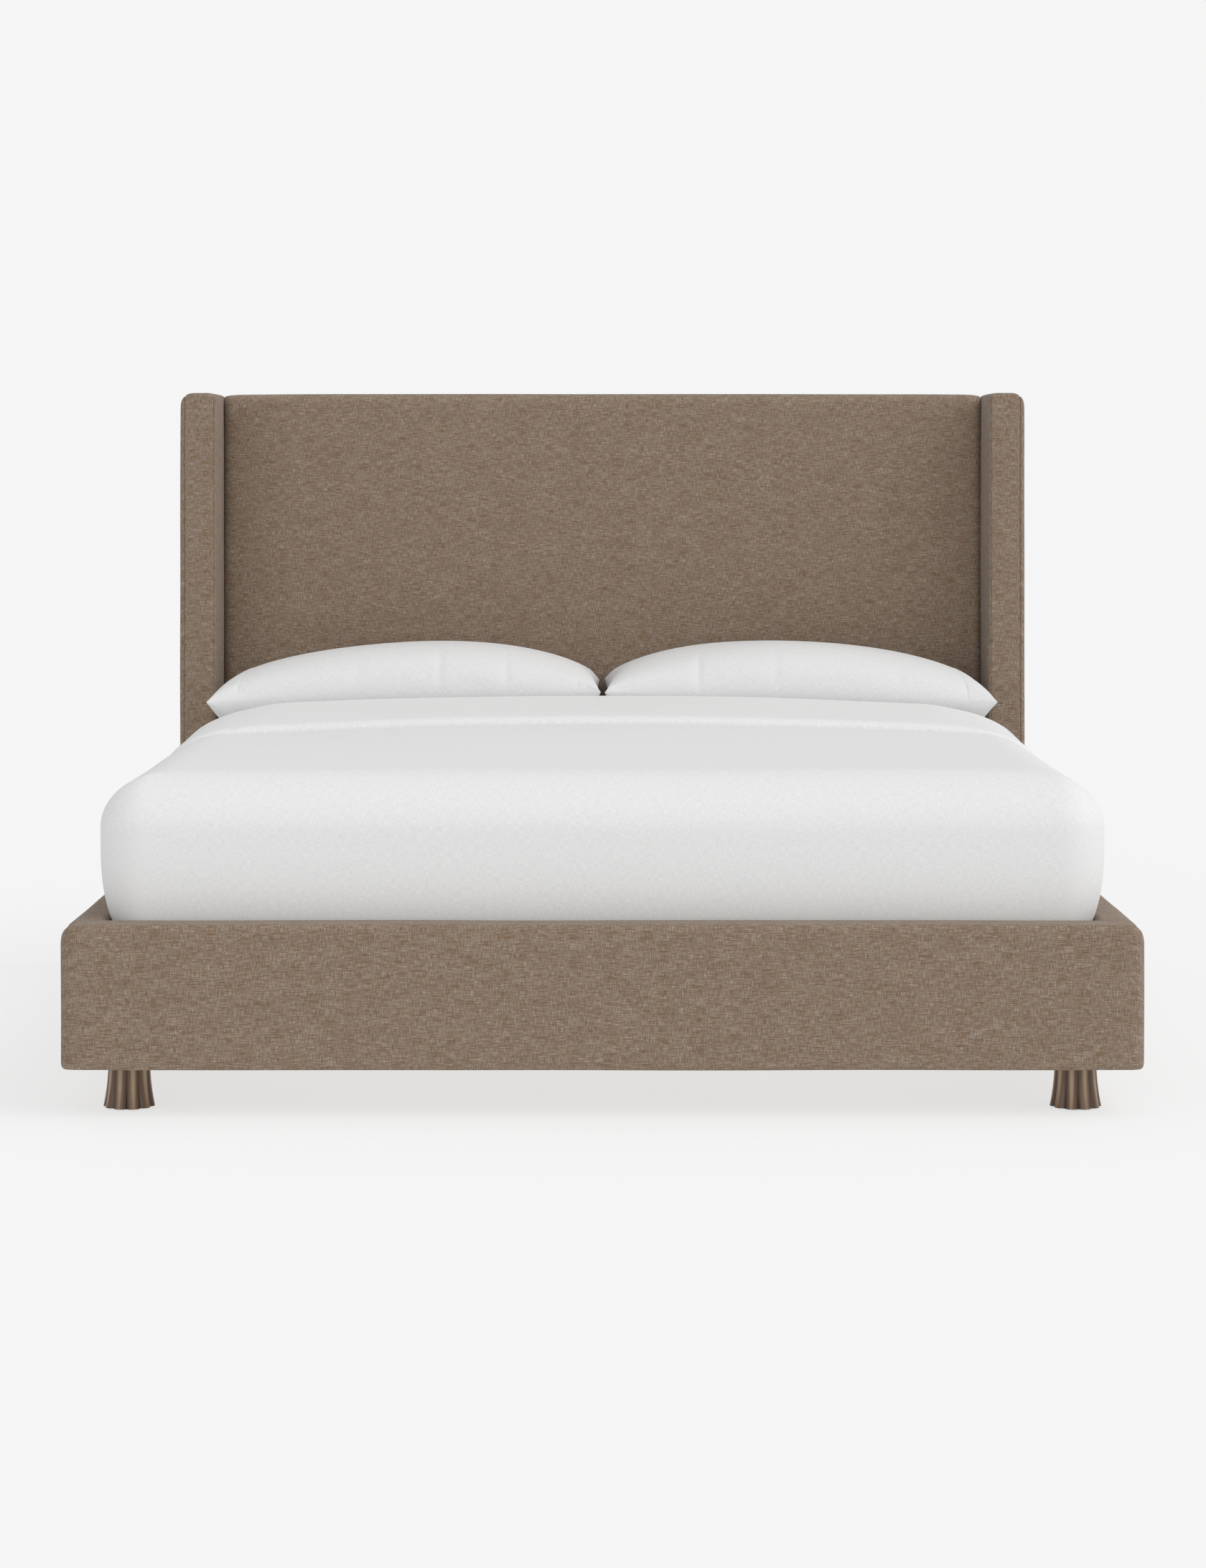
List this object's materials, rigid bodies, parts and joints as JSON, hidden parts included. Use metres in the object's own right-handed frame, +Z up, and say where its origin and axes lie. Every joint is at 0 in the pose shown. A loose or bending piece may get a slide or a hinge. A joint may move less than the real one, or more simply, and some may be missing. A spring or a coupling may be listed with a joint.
{
  "type": "upholstered bed",
  "caption": "King bed with a winged upholstered headboard, padded rails and footboard on short reeded legs, a slatted deck, and a made-up mattress.",
  "frame": {"origin": "on the floor, at the middle of the bed's own box: midway between the wings' outer faces and midway between the footboard's front and the headboard's back", "axes": "+X to the right as seen from the foot end, +Y from the foot to the head, +Z up"},
  "size_m": [2.116, 2.237, 1.457],
  "materials": {
    "upholstery": "taupe-brown linen-look tweed with light and dark slubs",
    "backing_cloth": "plain weave in the upholstery colour",
    "foam": "pale upholstery foam",
    "timber": "planed softwood and plywood, unfinished",
    "leg_wood": "dark brown stained hardwood, satin lacquer",
    "steel": "zinc-plated",
    "glide_plastic": "matt",
    "mattress_ticking": "quilted white ticking under a fitted sheet",
    "bed_linen": "smooth washed white linen"
  },
  "bodies": {
    "bed_frame": {"headboard_cover": "upholstery", "headboard_foam": "foam", "headboard_back_cover": "backing_cloth", "headboard_face_board": "timber", "headboard_left_post": "timber", "headboard_right_post": "timber", "headboard_top_rail": "timber", "headboard_middle_rail": "timber", "headboard_bottom_rail": "timber", "footboard_cover": "upholstery", "footboard_foam": "foam", "footboard_board": "timber", "center_beam": "timber", "beam_hanger": "steel", "center_leg_1": "timber", "center_leg_2": "timber", "leg_hanger_bolts": "steel", "frame_bolts": "steel", "wood_screws": "steel", "leg_glides": "glide_plastic", "left_wing_cover": "upholstery", "left_wing_foam": "foam", "left_wing_core": "timber", "left_rail_cover": "upholstery", "left_rail_foam": "foam", "left_rail_board": "timber", "left_ledger": "timber", "front_left_corner_block": "timber", "front_left_leg": "leg_wood", "rear_left_corner_block": "timber", "rear_left_leg": "leg_wood", "right_wing_cover": "upholstery", "right_wing_foam": "foam", "right_wing_core": "timber", "right_rail_cover": "upholstery", "right_rail_foam": "foam", "right_rail_board": "timber", "right_ledger": "timber", "front_right_corner_block": "timber", "front_right_leg": "leg_wood", "rear_right_corner_block": "timber", "rear_right_leg": "leg_wood", "slat_01": "timber", "slat_02": "timber", "slat_03": "timber", "slat_04": "timber", "slat_05": "timber", "slat_06": "timber", "slat_07": "timber", "slat_08": "timber", "slat_09": "timber", "slat_10": "timber", "slat_11": "timber", "slat_12": "timber"},
    "mattress": {"mattress": "mattress_ticking"},
    "coverlet": {"coverlet": "bed_linen"},
    "pillow_left": {"pillow_left": "bed_linen"},
    "pillow_right": {"pillow_right": "bed_linen"},
    "leveller_1": {"leveller_1": "steel"},
    "leveller_2": {"leveller_2": "steel"}
  },
  "joints": [
    {"name": "mattress_lift", "type": "slide", "parent": "bed_frame", "child": "mattress", "axis": [0, 0, 1], "range_m": [0, 0.45]},
    {"name": "coverlet_lift", "type": "slide", "parent": "mattress", "child": "coverlet", "axis": [0, 0, 1], "range_m": [0, 0.45]},
    {"name": "pillow_left_lift", "type": "slide", "parent": "mattress", "child": "pillow_left", "axis": [0, 0, 1], "range_m": [0, 0.35]},
    {"name": "pillow_right_lift", "type": "slide", "parent": "mattress", "child": "pillow_right", "axis": [0, 0, 1], "range_m": [0, 0.35]},
    {"name": "leveller_1_screw", "type": "slide", "parent": "bed_frame", "child": "leveller_1", "axis": [0, 0, 1], "range_m": [0, 0.015]},
    {"name": "leveller_2_screw", "type": "slide", "parent": "bed_frame", "child": "leveller_2", "axis": [0, 0, 1], "range_m": [0, 0.015]}
  ]
}
